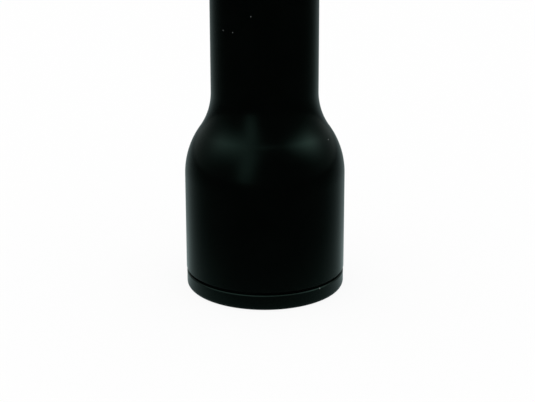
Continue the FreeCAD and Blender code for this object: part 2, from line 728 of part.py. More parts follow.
def make_blade(number):
    """Crescent with an ear, a lever and two pins; each blade lies one pitch above the one before."""
    label = f"iris_blade_{number}"
    body = new_body(label)
    crescent = new_sketch(body, label + "_crescent", "XY_Plane")
    inner = "iris_open_diameter / 2"
    outer = "blade_outer_diameter / 2"
    right, tip, left = round_end("blade_mid_r * cos(blade_sweep)", "blade_mid_r * sin(blade_sweep)",
                                 "sin(-blade_sweep)", "cos(blade_sweep)", "blade_half")
    draw_outline(crescent, [
        (inner, "0"),
        (outer, "0", outer, 1),
        (*right, "blade_half", 1),
        (*tip, "blade_half", 1),
        (*left, inner, -1),
    ])
    pad(body, label + "_leaf", crescent, "blade_thickness")
    pivot = "pivot_r"
    bridge = new_sketch(body, label + "_bridge", "XY_Plane")
    right, tip, left = round_end(pivot, "0", "1", "0", "ear_diameter / 2")
    draw_outline(bridge, [
        ("blade_mid_r", "0"),
        (*right, "ear_diameter / 2", 1),
        (*tip, "ear_diameter / 2", 1),
        left,
        ("blade_mid_r", "blade_half"),
    ])
    pad(body, label + "_ear", bridge, "blade_thickness")
    lever = new_sketch(body, label + "_lever_outline", "XY_Plane")
    pin_x = f"({pivot} + lever_length * cos(-lever_angle))"
    pin_y = "(lever_length * sin(-lever_angle))"
    ahead = ("cos(-lever_angle)", "sin(-lever_angle)")
    root_right, _, root_left = round_end(pivot, "0", *ahead, "lever_width / 2")
    right, tip, left = round_end(pin_x, pin_y, *ahead, "lever_width / 2")
    draw_outline(lever, [
        root_right,
        (*right, "lever_width / 2", 1),
        (*tip, "lever_width / 2", 1),
        left,
        root_left,
    ])
    pad(body, label + "_lever", lever, "blade_thickness")
    pivot_pin = new_sketch(body, label + "_pivot_outline", "XY_Plane", "blade_thickness")
    draw_circle(pivot_pin, pivot, "0", "pivot_pin_diameter / 2")
    pad(body, label + "_pivot_pin", pivot_pin, "pivot_pin_length + blade_thickness", down=True)
    drive_pin = new_sketch(body, label + "_drive_outline", "XY_Plane")
    draw_circle(drive_pin, pin_x, pin_y, "drive_pin_diameter / 2")
    pad(body, label + "_drive_pin", drive_pin, "drive_pin_length + blade_thickness")
    around = FreeCAD.Rotation(FreeCAD.Vector(0, 0, 1), 1)
    body.Placement = FreeCAD.Placement(FreeCAD.Vector(), around)
    body.setExpression("Placement.Rotation.Angle", bound(f"360 / blade_count * {number - 1}"))
    body.setExpression("Placement.Base.z", bound(f"plate_top + blade_clearance + {number - 1} * blade_pitch"))


def make_cam_ring():
    """Ring with one curved slot for each drive pin; the slots swing the blades as it turns."""
    body = turned("iris_cam_ring", [
        ("cam_r - cam_ring_width", "cam_bottom"),
        ("cam_r", "cam_bottom"),
        ("cam_r", "cam_top"),
        ("cam_r - cam_ring_width", "cam_top"),
    ])
    sketch = new_sketch(body, "cam_slot_outline", "XY_Plane", "cam_bottom")
    start_out, start_tip, start_in = round_end(
        "slot_start_x", "slot_start_y",
        "((slot_centre_y - slot_start_y) / slot_r)", "((slot_start_x - slot_centre_x) / slot_r)", "slot_half")
    end_in, end_tip, end_out = round_end(
        "slot_end_x", "slot_end_y",
        "((slot_end_y - slot_centre_y) / slot_r)", "((slot_centre_x - slot_end_x) / slot_r)", "slot_half")
    draw_outline(sketch, [
        (*start_out, "slot_r + slot_half", -1),
        (*end_out, "slot_half", -1),
        (*end_tip, "slot_half", -1),
        (*end_in, "slot_r - slot_half", 1),
        (*start_in, "slot_half", -1),
        (*start_tip, "slot_half", -1),
    ])
    slot = pocket(body, "cam_slot", sketch, "cam_thickness")
    repeat(body, "cam_slots", slot, "blade_count")
    radial_hole(body, "cam_drive_hole", "drive_screw_azimuth", "drive_screw_z",
                "drive_screw_r + screw_clearance", "cam_r - drive_screw_engagement - screw_clearance",
                "iris_bore_r")


# Relay optics in their own sleeve

def make_relay():
    """Sleeve with a lip, cemented doublet, spacer, singlet and clamp ring."""
    turned("relay_cell", [
        ("relay_lip_r", "relay_cell_start"),
        ("relay_cell_r", "relay_cell_start"),
        ("relay_cell_r", "relay_cell_end"),
        ("relay_thread_r", "relay_cell_end"),
        ("relay_thread_r", "relay_singlet_rear"),
        ("relay_lens_bore_r", "relay_singlet_rear"),
        ("relay_lens_bore_r", "relay_lip_end"),
        ("relay_lip_r", "relay_lip_end"),
    ])
    lens("relay_crown_lens", "relay_lens_r", "relay_crown_front", "relay_crown_rear",
         ("relay_front_radius", 1), ("relay_cement_radius", 1))
    lens("relay_flint_lens", "relay_lens_r", "relay_flint_front", "relay_flint_rear",
         ("relay_cement_radius", -1), ("relay_rear_radius", 1))
    turned("relay_spacer", [
        ("relay_spacer_r", "relay_spacer_front"),
        ("relay_lens_r", "relay_spacer_front"),
        ("relay_lens_r", "relay_spacer_rear"),
        ("relay_spacer_r", "relay_spacer_rear"),
    ])
    lens("relay_singlet_lens", "relay_lens_r", "relay_singlet_front", "relay_singlet_rear",
         ("relay_singlet_radius", 1), None)
    ring = turned("relay_retaining_ring", [
        ("relay_spacer_r", "relay_singlet_rear"),
        ("relay_ring_r", "relay_singlet_rear"),
        ("relay_ring_r", "relay_ring_rear"),
        ("relay_spacer_r", "relay_ring_rear"),
    ])
    spanner_slots(ring, "relay_ring_rear - spanner_slot_depth", "spanner_slot_width",
                  "relay_ring_r", "spanner_slot_depth")


# Camera mount and its set screws

def make_camera_mount():
    """Flange with a register towards the lens and a male thread towards the camera."""
    turned("camera_mount", [
        ("mount_bore / 2", "relay_cell_end"),
        ("register_r", "relay_cell_end"),
        ("register_r", "housing_end"),
        ("housing_r - edge_chamfer", "housing_end"),
        ("housing_r", "housing_end + edge_chamfer"),
        ("housing_r", "flange_end - edge_chamfer"),
        ("housing_r - edge_chamfer", "flange_end"),
        ("camera_thread_r", "flange_end"),
        ("camera_thread_r", "thread_end - camera_thread_chamfer"),
        ("camera_thread_r - camera_thread_chamfer", "thread_end"),
        ("mount_bore / 2", "thread_end"),
    ])


def make_set_screws():
    """Three headless screws that reach through the housing to the mount's register."""
    body = new_body("mount_set_screws")
    body.AllowCompound = True
    sketch = new_sketch(body, "set_screw_outline", "YZ_Plane", "register_r")
    draw_circle(sketch, "0", "set_screw_z", "set_screw_diameter / 2 - screw_clearance")
    length = "housing_r - set_screw_recess - register_r"
    shank = pad(body, "set_screw_shank", sketch, length)
    socket_sketch = new_sketch(body, "set_screw_socket_outline", "YZ_Plane",
                               "housing_r - set_screw_recess")
    corner = "hex_socket_width / sqrt(3)"
    draw_outline(socket_sketch, [
        (f"{corner} * cos({60 * k})", f"set_screw_z + {corner} * sin({60 * k})") for k in range(6)
    ])
    socket = pocket(body, "set_screw_socket", socket_sketch, "hex_socket_depth", up=False)
    pattern = repeat(body, "set_screw_copies", shank, "set_screw_count")
    pattern.Originals = [shank, socket]
    around = FreeCAD.Rotation(FreeCAD.Vector(0, 0, 1), 1)
    body.Placement = FreeCAD.Placement(FreeCAD.Vector(), around)
    body.setExpression("Placement.Rotation.Angle", bound("set_screw_azimuth"))


make_front_ring()
make_main_barrel()
make_front_optics()
make_baffle("front_baffle", "front_baffle_z", "front_baffle_lip")
make_baffle("rear_baffle", "rear_baffle_z", "rear_baffle_lip")
make_rear_barrel()
make_aperture_ring()
make_drive_screw()
make_lock_screw()
make_iris_plate()
for blade_number in range(1, SIZES["blade_count"] + 1):
    make_blade(blade_number)
make_cam_ring()
make_relay()
make_camera_mount()
make_set_screws()
doc.recompute()

for item in doc.Objects:
    if "Invalid" in item.State or "Error" in item.State:
        raise ValueError(f"{item.Label} failed: {item.State}")
for body in parts:
    if body.Shape.isNull() or not body.Shape.isValid() or not body.Shape.Solids:
        raise ValueError(f"{body.Label} has no valid solid")

os.makedirs("parts", exist_ok=True)
for body in parts:
    body.Shape.exportStep(f"parts/{body.Label}.step")
    print(f"{body.Label}: {len(body.Shape.Solids)} solids, {body.Shape.Volume:.1f} cubic millimetres")
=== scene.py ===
import math

import bmesh
import bpy
from mathutils import Euler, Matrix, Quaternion, Vector


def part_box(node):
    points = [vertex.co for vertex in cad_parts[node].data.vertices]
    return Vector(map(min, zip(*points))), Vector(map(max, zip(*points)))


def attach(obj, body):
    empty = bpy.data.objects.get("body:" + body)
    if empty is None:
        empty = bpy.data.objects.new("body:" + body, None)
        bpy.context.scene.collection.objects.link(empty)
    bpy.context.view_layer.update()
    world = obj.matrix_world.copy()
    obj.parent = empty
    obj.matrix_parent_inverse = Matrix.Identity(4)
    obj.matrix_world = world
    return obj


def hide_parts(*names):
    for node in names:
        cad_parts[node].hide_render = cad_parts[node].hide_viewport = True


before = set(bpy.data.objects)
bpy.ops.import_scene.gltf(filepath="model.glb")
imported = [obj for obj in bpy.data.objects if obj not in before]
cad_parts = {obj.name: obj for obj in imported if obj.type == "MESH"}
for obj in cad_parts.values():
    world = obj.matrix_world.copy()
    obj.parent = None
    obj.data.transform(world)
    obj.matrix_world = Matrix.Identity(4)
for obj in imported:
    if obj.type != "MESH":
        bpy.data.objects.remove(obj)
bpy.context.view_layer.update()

MM = 0.001


def span(node):
    """Lowest and highest corner of a node at rest, in millimetres."""
    low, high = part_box(node)
    return low / MM, high / MM


def placed(name, data):
    """A new object in the scene."""
    made = bpy.data.objects.new(name, data)
    bpy.context.scene.collection.objects.link(made)
    return made


# Camera: a long lens, a little to the right of the optical axis and above it

FOCAL = 113.84
SENSOR = 36
TARGET_HEIGHT = 24.55
DISTANCE = 480.3
ELEVATION = 19.0
SIDE = 0.72
LEAN = -0.14

camera_data = bpy.data.cameras.new("camera")
camera_data.lens = FOCAL
camera_data.sensor_width = SENSOR
camera_data.sensor_fit = "HORIZONTAL"
camera_data.clip_start = 0.01
camera_data.clip_end = 20
camera = placed("camera", camera_data)
rise = math.radians(ELEVATION)
camera.location = Vector((SIDE, -DISTANCE * math.cos(rise), TARGET_HEIGHT + DISTANCE * math.sin(rise))) * MM
upright = Euler((math.pi / 2 - rise, 0, 0)).to_quaternion()
camera.rotation_euler = (upright @ Quaternion((0, 0, 1), math.radians(LEAN))).to_euler()
bpy.context.scene.camera = camera
bpy.context.scene.view_settings.view_transform = "Standard"


# Material helpers

def node(tree, kind, inputs=None, **settings):
    """A shader node with its settings and with values or links on its inputs."""
    made = tree.nodes.new(kind)
    for name, setting in settings.items():
        setattr(made, name, setting)
    for name, source in (inputs or {}).items():
        if isinstance(source, bpy.types.NodeSocket):
            tree.links.new(source, made.inputs[name])
        else:
            made.inputs[name].default_value = source
    return made


def new_material(name):
    """A material with a bare node tree, its output and the object's own coordinates."""
    material = bpy.data.materials.new(name)
    material.use_nodes = True
    tree = material.node_tree
    tree.nodes.clear()
    output = node(tree, "ShaderNodeOutputMaterial")
    place = node(tree, "ShaderNodeTexCoord").outputs["Object"]
    return material, tree, output, place


def math_of(tree, operation, first, second=0.0):
    """Result of one calculation on two numbers or links."""
    return node(tree, "ShaderNodeMath", {0: first, 1: second}, operation=operation).outputs[0]


def vector_math(tree, operation, first, second, result):
    """Result of one calculation on two vectors."""
    return node(tree, "ShaderNodeVectorMath", {0: first, 1: second}, operation=operation).outputs[result]


def stretch(tree, source, low, high, to_low=0.0, to_high=1.0):
    """A number moved from one range to another and held inside it."""
    return node(tree, "ShaderNodeMapRange", {
        "Value": source, "From Min": low, "From Max": high, "To Min": to_low, "To Max": to_high,
    }).outputs["Result"]


def noise(tree, place, scale, detail):
    """Cloudy pattern whose scale is given in patches per metre."""
    return node(tree, "ShaderNodeTexNoise", {
        "Vector": place, "Scale": scale, "Detail": detail,
    }).outputs["Fac"]


def blend_colours(tree, share, first, second):
    """Colour between two others."""
    mix = node(tree, "ShaderNodeMix", data_type="RGBA")
    for socket, source in ((mix.inputs[0], share), (mix.inputs[6], first), (mix.inputs[7], second)):
        if isinstance(source, bpy.types.NodeSocket):
            tree.links.new(source, socket)
        else:
            socket.default_value = source
    return mix.outputs[2]


def squeezed(tree, place, across, along):
    """Coordinates that vary at one rate across the optical axis and at another along it."""
    return vector_math(tree, "MULTIPLY", place, (across, across, along), "Vector")


def specks(tree, place, cells, size, share):
    """Sparse round dots, 1 inside and 0 outside."""
    cell = node(tree, "ShaderNodeTexVoronoi", {"Vector": place, "Scale": cells})
    near = stretch(tree, cell.outputs["Distance"], size, size * 0.5)
    chance = node(tree, "ShaderNodeSeparateColor", {"Color": cell.outputs["Color"]}).outputs[0]
    return math_of(tree, "MULTIPLY", near, math_of(tree, "LESS_THAN", chance, share))


def marks(tree, place, spots):
    """Round marks, 1 inside and 0 outside, each given as azimuth, radius, height and half width."""
    total = 0.0
    for azimuth, radius, height, size in spots:
        angle = math.radians(azimuth)
        centre = Vector((radius * math.cos(angle), radius * math.sin(angle), height)) * MM
        away = vector_math(tree, "DISTANCE", place, centre, "Value")
        total = math_of(tree, "ADD", total, stretch(tree, away, size * MM, size * MM * 0.4))
    return math_of(tree, "MINIMUM", total, 1.0)


# Pattern scales in patches per metre, colours of dust and bare metal, and bump depths in metres
CLOUDS, GRAIN = 90, 9000
TURNED_ACROSS, TURNED_ALONG = 60, 14000
DUST_CELLS, DUST_SIZE = 230, 0.022
DUST_COLOUR = (0.35, 0.36, 0.35, 1)
BARE_COLOUR = (0.32, 0.33, 0.32, 1)
COAT_DEPTH = 0.00002
RUBBED_DEPTH = 0.00001


def coated_metal(name, dark, light, rough_low, rough_high, grain, tint=(1, 1, 1, 1), level=0.5, dust=0.0,
                 spots=(), nicks=()):
    """Black coated metal: a fine grain, faint lines from turning, dust, and bare metal where it is nicked."""
    material, tree, output, place = new_material(name)
    clouds = noise(tree, place, CLOUDS, 3)
    fine = noise(tree, place, GRAIN, 2)
    lines = noise(tree, squeezed(tree, place, TURNED_ACROSS, TURNED_ALONG), 1.0, 2)
    colour = blend_colours(tree, stretch(tree, clouds, 0.3, 0.7), dark, light)
    rough = stretch(tree, math_of(tree, "ADD", clouds, fine), 0.7, 1.3, rough_low, rough_high)
    if dust:
        scattered = specks(tree, place, DUST_CELLS, DUST_SIZE, dust)
        dots = math_of(tree, "MAXIMUM", scattered, marks(tree, place, spots))
        colour = blend_colours(tree, math_of(tree, "MULTIPLY", dots, 0.5), colour, DUST_COLOUR)
        rough = math_of(tree, "MAXIMUM", rough, math_of(tree, "MULTIPLY", dots, 0.8))
    bare = marks(tree, place, nicks)
    colour = blend_colours(tree, bare, colour, BARE_COLOUR)
    height_map = math_of(tree, "ADD", math_of(tree, "MULTIPLY", lines, 0.6), fine)
    bump = node(tree, "ShaderNodeBump", {"Strength": grain, "Distance": COAT_DEPTH, "Height": height_map})
    skin = node(tree, "ShaderNodeBsdfPrincipled", {
        "Base Color": colour, "Roughness": rough, "Metallic": math_of(tree, "MULTIPLY", bare, 0.9),
        "Normal": bump.outputs["Normal"],
        "IOR": 1.5, "Specular IOR Level": level, "Specular Tint": tint,
    })
    tree.links.new(skin.outputs["BSDF"], output.inputs["Surface"])
    return material


def coated_glass(name, tint, ior):
    """Polished lens with a coloured anti-reflection coating and a little dust."""
    material, tree, output, place = new_material(name)
    dots = specks(tree, place, 400, 0.02, 0.25)
    haze = stretch(tree, noise(tree, place, 120, 4), 0.35, 0.8, 0.0, 0.02)
    colour = blend_colours(tree, dots, (0.97, 0.99, 0.985, 1), (0.8, 0.8, 0.78, 1))
    glass = node(tree, "ShaderNodeBsdfPrincipled", {
        "Base Color": colour, "Roughness": math_of(tree, "ADD", haze, math_of(tree, "MULTIPLY", dots, 0.4)),
        "IOR": ior, "Transmission Weight": 1.0, "Specular IOR Level": 0.22, "Specular Tint": tint,
    })
    tree.links.new(glass.outputs["BSDF"], output.inputs["Surface"])
    return material


def steel_leaf(name):
    """Thin blackened steel with fine rubbing lines."""
    material, tree, output, place = new_material(name)
    lines = noise(tree, squeezed(tree, place, 2200, 300), 1.0, 3)
    clouds = noise(tree, place, 500, 3)
    share = stretch(tree, clouds, 0.35, 0.7)
    colour = blend_colours(tree, share, (0.014, 0.014, 0.016, 1), (0.04, 0.04, 0.043, 1))
    rough = stretch(tree, lines, 0.3, 0.7, 0.3, 0.5)
    bump = node(tree, "ShaderNodeBump", {"Strength": 0.2, "Distance": RUBBED_DEPTH, "Height": lines})
    skin = node(tree, "ShaderNodeBsdfPrincipled", {
        "Base Color": colour, "Roughness": rough, "Metallic": 0.6, "Normal": bump.outputs["Normal"],
    })
    tree.links.new(skin.outputs["BSDF"], output.inputs["Surface"])
    return material


def filled_engraving(name):
    """White paint in an engraved line, slightly uneven."""
    material, tree, output, place = new_material(name)
    patches = noise(tree, place, 2600, 3)
    share = stretch(tree, patches, 0.35, 0.75)
    colour = blend_colours(tree, share, (0.78, 0.79, 0.77, 1), (0.5, 0.51, 0.5, 1))
    bump = node(tree, "ShaderNodeBump", {"Strength": 0.3, "Distance": COAT_DEPTH, "Height": patches})
    skin = node(tree, "ShaderNodeBsdfPrincipled", {
        "Base Color": colour, "Roughness": stretch(tree, patches, 0.3, 0.7, 0.45, 0.7),
        "Normal": bump.outputs["Normal"],
    })
    tree.links.new(skin.outputs["BSDF"], output.inputs["Surface"])
    return material


# Mesh helpers

ROUND_POINTS = 4
HOLD = 0.08
CREASE = math.radians(32)
DRILL_SIDES = 48


def soften(outline):
    """Round the corners of a closed outline and hold the flats beside them.

    Its points are (radius, height) or, where a corner is rounded, (radius, height, rounding).
    """
    points = []
    count = len(outline)
    for index, corner in enumerate(outline):
        here = Vector(corner[:2])
        rounding = corner[2] if len(corner) > 2 else 0
        if not rounding:
            points.append(tuple(here))
            continue
        before = Vector(outline[index - 1][:2]) - here
        after = Vector(outline[(index + 1) % count][:2]) - here
        reach = min(rounding, before.length * 0.45, after.length * 0.45)
        start = here + before.normalized() * reach
        end = here + after.normalized() * reach
        if before.length > reach * 3:
            points.append(tuple(start + before.normalized() * min(HOLD, before.length * 0.1)))
        for step in range(ROUND_POINTS):
            share = step / (ROUND_POINTS - 1)
            points.append(tuple(start * (1 - share) ** 2 + here * 2 * share * (1 - share) + end * share ** 2))
        if after.length > reach * 3:
            points.append(tuple(end + after.normalized() * min(HOLD, after.length * 0.1)))
    return points


def arc(centre_r, centre_z, radius, start, end, steps):
    """Points of an arc in the outline, from one angle to another in degrees."""
    points = []
    for index in range(steps + 1):
        angle = math.radians(start + (end - start) * index / steps)
        points.append((centre_r + radius * math.cos(angle), centre_z + radius * math.sin(angle)))
    return points


def groove_share(position):
    """Sharp triangle wave between 0 and 1, with a period of 1 and small flats at both ends."""
    wave = abs(position - math.floor(position) - 0.5) * 2
    return min(max((wave - 0.06) / 0.84, 0), 1)


def lathe(name, outline, segments, shape=None):
    """Mesh of a closed outline of radius and height, turned round the optical axis."""
    vertices = []
    for radius, height in outline:
        for index in range(segments):
            angle = 2 * math.pi * index / segments
            here = shape(radius, height, angle) if shape else radius
            vertices.append((here * math.cos(angle) * MM, here * math.sin(angle) * MM, height * MM))
    faces = []
    rows = len(outline)
    for row in range(rows):
        after = (row + 1) % rows
        for index in range(segments):
            beside = (index + 1) % segments
            faces.append((row * segments + index, row * segments + beside,
                          after * segments + beside, after * segments + index))
    mesh = bpy.data.meshes.new(name)
    mesh.from_pydata(vertices, [], faces)
    return mesh


def face_outwards(mesh):
    """The closed mesh with every face turned outwards."""
    work = bmesh.new()
    work.from_mesh(mesh)
    bmesh.ops.recalc_face_normals(work, faces=work.faces)
    work.to_mesh(mesh)
    work.free()
    return mesh


def evaluated_mesh(source):
    """Mesh of an object with its modifiers or its text worked out."""
    bpy.context.view_layer.update()
    graph = bpy.context.evaluated_depsgraph_get()
    return bpy.data.meshes.new_from_object(source.evaluated_get(graph))


def radial_drill(azimuth, height, radius, inner, outer):
    """Cutter for a round hole that runs outwards at one azimuth."""
    angle = math.radians(azimuth)
    out = Vector((math.cos(angle), math.sin(angle), 0))
    side = Vector((-math.sin(angle), math.cos(angle), 0))
    up = Vector((0, 0, 1))
    vertices = []
    for distance in (inner, outer):
        for index in range(DRILL_SIDES):
            turn = 2 * math.pi * index / DRILL_SIDES
            ring = side * math.cos(turn) * radius + up * math.sin(turn) * radius
            vertices.append((out * distance + up * height + ring) * MM)
    faces = [tuple(range(DRILL_SIDES)), tuple(range(2 * DRILL_SIDES - 1, DRILL_SIDES - 1, -1))]
    for index in range(DRILL_SIDES):
        beside = (index + 1) % DRILL_SIDES
        faces.append((index, beside, DRILL_SIDES + beside, DRILL_SIDES + index))
    mesh = bpy.data.meshes.new("drill")
    mesh.from_pydata(vertices, [], faces)
    return face_outwards(mesh)


def drilled(mesh, drills):
    """The mesh with each cutter taken away."""
    whole = placed("whole", face_outwards(mesh))
    cutters = []
    for drill in drills:
        cutter = placed("cutter", drill)
        cut = whole.modifiers.new("cut", "BOOLEAN")
        cut.operation = "DIFFERENCE"
        cut.solver = "EXACT"
        cut.object = cutter
        cutters.append(cutter)
    result = evaluated_mesh(whole)
    for item in cutters + [whole]:
        bpy.data.objects.remove(item)
    return result


def new_piece(name, mesh, body, material):
    """A piece that rides on a body, with its material."""
    mesh.materials.clear()
    mesh.materials.append(material)
    piece = placed(name, mesh)
    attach(piece, body)
    return piece


def finish_mesh(name, mesh, body, material):
    """Turn a mesh into a smooth piece with crisp corners that rides on a body."""
    work = bmesh.new()
    work.from_mesh(mesh)
    bmesh.ops.recalc_face_normals(work, faces=work.faces)
    for face in work.faces:
        face.smooth = True
    for edge in work.edges:
        if len(edge.link_faces) == 2 and edge.calc_face_angle(0) > CREASE:
            edge.smooth = False
    work.to_mesh(mesh)
    work.free()
    return new_piece(name, mesh, body, material)


# Materials

BLACK_TINT = (0.58, 1.0, 0.84, 1)
SPOTS = (
    (336.5, 19.11, 45.07, 0.2), (256.2, 15, 81.2, 0.16), (235.5, 15, 76.4, 0.16), (222.5, 15, 76.5, 0.16),
)
NICKS = ((313.0, 22.25, 4.33, 0.25),)
anodised = coated_metal("black_anodised", (0.0006, 0.0009, 0.0008, 1), (0.0009, 0.0013, 0.0011, 1),
                        0.16, 0.21, 0.08, tint=BLACK_TINT, dust=0.05, spots=SPOTS)
ring_black = coated_metal("ring_anodised", (0.0007, 0.0011, 0.0010, 1), (0.0011, 0.0015, 0.0013, 1),
                          0.22, 0.29, 0.12, tint=BLACK_TINT, dust=0.04, nicks=NICKS)
matt = coated_metal("matt_black", (0.004, 0.0045, 0.004, 1), (0.008, 0.0085, 0.008, 1),
                    0.6, 0.8, 0.3, level=0.3)
screw_black = coated_metal("blackened_steel", (0.003, 0.0034, 0.0035, 1), (0.006, 0.0067, 0.0067, 1),
                           0.26, 0.4, 0.2, level=0.8)
front_glass = coated_glass("coated_front_glass", (0.55, 1.0, 0.72, 1), 1.52)
relay_glass = coated_glass("coated_relay_glass", (0.75, 0.7, 1.0, 1), 1.6)
blade_black = steel_leaf("blade_steel")
paint = filled_engraving("engraving_white")


# Places and sizes that the turned pieces share, in millimetres

ring_high = span("front_ring")[1]
barrel_low, barrel_high = span("main_barrel")
rear_low, rear_high = span("rear_barrel")
dial_low, dial_high = span("aperture_ring")
mount_low, mount_high = span("camera_mount")

CHAMFER = 0.3
SOFT = 0.06
TURNED_SEGMENTS = 240

head_r = barrel_high.x
tube_r = rear_high.x


# Front ring: rounded rim, thread for filters, chamfer above the joint

RING_STEP = 0.12
RING_WALL = 2.25
RIM_ROUND = 1.3
RIM_LEAD = 0.4
SPIGOT_WALL = 0.95
JOINT_GAP = 0.6
JOINT_CHAMFER = 0.25
THREAD_END = 5
THREAD_RELIEF = 0.25
THREAD_DEPTH = 0.27
THREAD_FADE_IN, THREAD_FADE_OUT = 0.5, 0.2
FILTER_PITCH = 0.5
ROWS_PER_PITCH = 10

ring_r = head_r - RING_STEP
filter_r = head_r - RING_WALL
ring_end = barrel_low.z - JOINT_GAP


def filter_thread(radius, height, angle):
    """Internal thread: its crests stand in from the wall."""
    if abs(radius - filter_r) > 0.01 or height > THREAD_END:
        return radius
    fade_in = min(max((height - RIM_LEAD) / THREAD_FADE_IN, 0), 1)
    fade_out = min(max((THREAD_END - height) / THREAD_FADE_OUT, 0), 1)
    crest = groove_share(height / FILTER_PITCH - angle / (2 * math.pi))
    return radius - THREAD_DEPTH * (fade_in * fade_out) * crest


thread_rows = []
for step in range(int((THREAD_END - RIM_LEAD) / FILTER_PITCH * ROWS_PER_PITCH)):
    thread_rows.append((filter_r, THREAD_END - step * FILTER_PITCH / ROWS_PER_PITCH))
ring_outline = soften([
    (filter_r + RIM_LEAD, 0, 0.05),
    (ring_r - RIM_ROUND, 0),
    *arc(ring_r - RIM_ROUND, RIM_ROUND, RIM_ROUND, -84, -6, 13),
    (ring_r, RIM_ROUND),
    (ring_r, RIM_ROUND + 0.1),
    (ring_r, ring_end - JOINT_CHAMFER - 0.15),
    (ring_r, ring_end - JOINT_CHAMFER, 0.04),
    (ring_r - JOINT_CHAMFER, ring_end, 0.04),
    (filter_r + SPIGOT_WALL, ring_end),
    (filter_r + SPIGOT_WALL, ring_high.z, 0.1),
    (filter_r + THREAD_RELIEF, ring_high.z, 0.1),
    (filter_r + THREAD_RELIEF, THREAD_END + THREAD_RELIEF, 0.05),
    *thread_rows,
    (filter_r, RIM_LEAD),
])
ring_mesh = lathe("front_ring_turned", ring_outline, TURNED_SEGMENTS, filter_thread)
piece = finish_mesh("front_ring_turned", ring_mesh, "lens_body", ring_black)
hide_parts("front_ring")


# Head, shoulder and tube in one turned piece

SHOULDER, HOLLOW = 22.3, 18.5
ARC_STEPS = 28
HEAD_END = 33.25
HEAD_LIFT = 0.27
HEAD_EDGE = 0.18
SOCKET_WALL = 1.0
SOCKET_END = 8.25
CLAMP_BORE, CLAMP_END = 20.65, 12.55
CELL_BORE = 20.05
HEAD_BORE = 18.6
TUBE_BORE = 12.75
CONE_LEAD = 3
NECK_SOCKET = 13.3
NECK_RELIEF = 0.2
BARREL_SEGMENTS = 300

head_low = barrel_low.z + HEAD_LIFT
bend = math.degrees(math.acos(1 - (head_r - tube_r) / (SHOULDER + HOLLOW)))
tube_start = HEAD_END + (SHOULDER + HOLLOW) * math.sin(math.radians(bend))
tube_end = barrel_high.z
lens_seat = span("front_singlet_lens")[1].z

barrel_outline = soften([
    (filter_r + SOCKET_WALL, head_low),
    (head_r - HEAD_EDGE, head_low, 0.03),
    (head_r, head_low + HEAD_EDGE, SOFT),
    (head_r, HEAD_END - 2),
    *arc(head_r - SHOULDER, HEAD_END, SHOULDER, 0, bend, ARC_STEPS),
    *arc(tube_r + HOLLOW, tube_start, HOLLOW, 180 + bend, 180, ARC_STEPS)[1:],
    (tube_r, tube_start + 2),
    (tube_r, tube_end - CHAMFER, SOFT),
    (tube_r - CHAMFER, tube_end, SOFT),
    (NECK_SOCKET, tube_end),
    (NECK_SOCKET, rear_low.z - NECK_RELIEF),
    (TUBE_BORE, rear_low.z - NECK_RELIEF),
    (TUBE_BORE, tube_start - CONE_LEAD),
    (HEAD_BORE, HEAD_END),
    (HEAD_BORE, lens_seat),
    (CELL_BORE, lens_seat),
    (CELL_BORE, CLAMP_END),
    (CLAMP_BORE, CLAMP_END),
    (CLAMP_BORE, SOCKET_END),
    (filter_r + SOCKET_WALL, SOCKET_END),
])
barrel_mesh = lathe("head_and_tube", barrel_outline, BARREL_SEGMENTS)
piece = finish_mesh("head_and_tube", barrel_mesh, "lens_body", anodised)
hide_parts("main_barrel")


# Rear barrel: its neck carries the aperture ring, its housing takes the set screws

DIAL_PLAY = 0.15
NECK_R = 13.25
IRIS_BORE = 11.5
WEB_BORE, WEB_LOW, WEB_HIGH = 8, 103.4, 108
RELAY_BORE = 11
REGISTER_BORE = 13.05
SET_SCREW_AZIMUTHS = (90, 210, 330)
SET_SCREW_R = 1.0
SET_SCREW_SPAN = (12, 16)

neck_end = dial_high.z + DIAL_PLAY
housing_outline = soften([
    (IRIS_BORE, rear_low.z, 0.1),
    (NECK_R, rear_low.z, 0.1),
    (NECK_R, neck_end),
    (tube_r - CHAMFER, neck_end, SOFT),
    (tube_r, neck_end + CHAMFER, SOFT),
    (tube_r, rear_high.z - CHAMFER, SOFT),
    (tube_r - CHAMFER, rear_high.z, SOFT),
    (REGISTER_BORE, rear_high.z),
    (REGISTER_BORE, mount_low.z),
    (RELAY_BORE, mount_low.z),
    (RELAY_BORE, WEB_HIGH),
    (WEB_BORE, WEB_HIGH, 0.1),
    (WEB_BORE, WEB_LOW, 0.1),
    (IRIS_BORE, WEB_LOW),
])
screw_z = (mount_low.z + rear_high.z) / 2
screw_drills = [radial_drill(azimuth, screw_z, SET_SCREW_R, *SET_SCREW_SPAN)
                for azimuth in SET_SCREW_AZIMUTHS]
housing_mesh = drilled(lathe("rear_housing", housing_outline, TURNED_SEGMENTS), screw_drills)
piece = finish_mesh("rear_housing", housing_mesh, "lens_body", anodised)
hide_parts("rear_barrel")


# Aperture ring: knurled band and dial band

KNURL_COUNT = 48
KNURL_DEPTH = 0.35
KNURL_HALF = 0.45
KNURL_BAND = 5.3
DIAL_STEP = 0.3
DIAL_BORE = 13.3
DIAL_SEGMENTS = 960
DRIVE_SCREW_HOLE = (165, 102.4, 0.75)
LOCK_SCREW_HOLE = (345, 98.95, 1.25)
DIAL_DRILL_SPAN = (12, 18)

knurl_r = dial_high.x
dial_r = knurl_r - DIAL_STEP
knurl_end = dial_low.z + KNURL_BAND


def knurl(radius, height, angle):
    """V grooves across the wide band."""
    if radius < dial_r - 0.06 or height > knurl_end + 0.001:
        return radius
    step = 2 * math.pi / KNURL_COUNT
    away = abs((angle + step / 2) % step - step / 2) * knurl_r
    depth = KNURL_DEPTH * max(0.0, 1 - away / KNURL_HALF)
    return min(radius, knurl_r - depth)


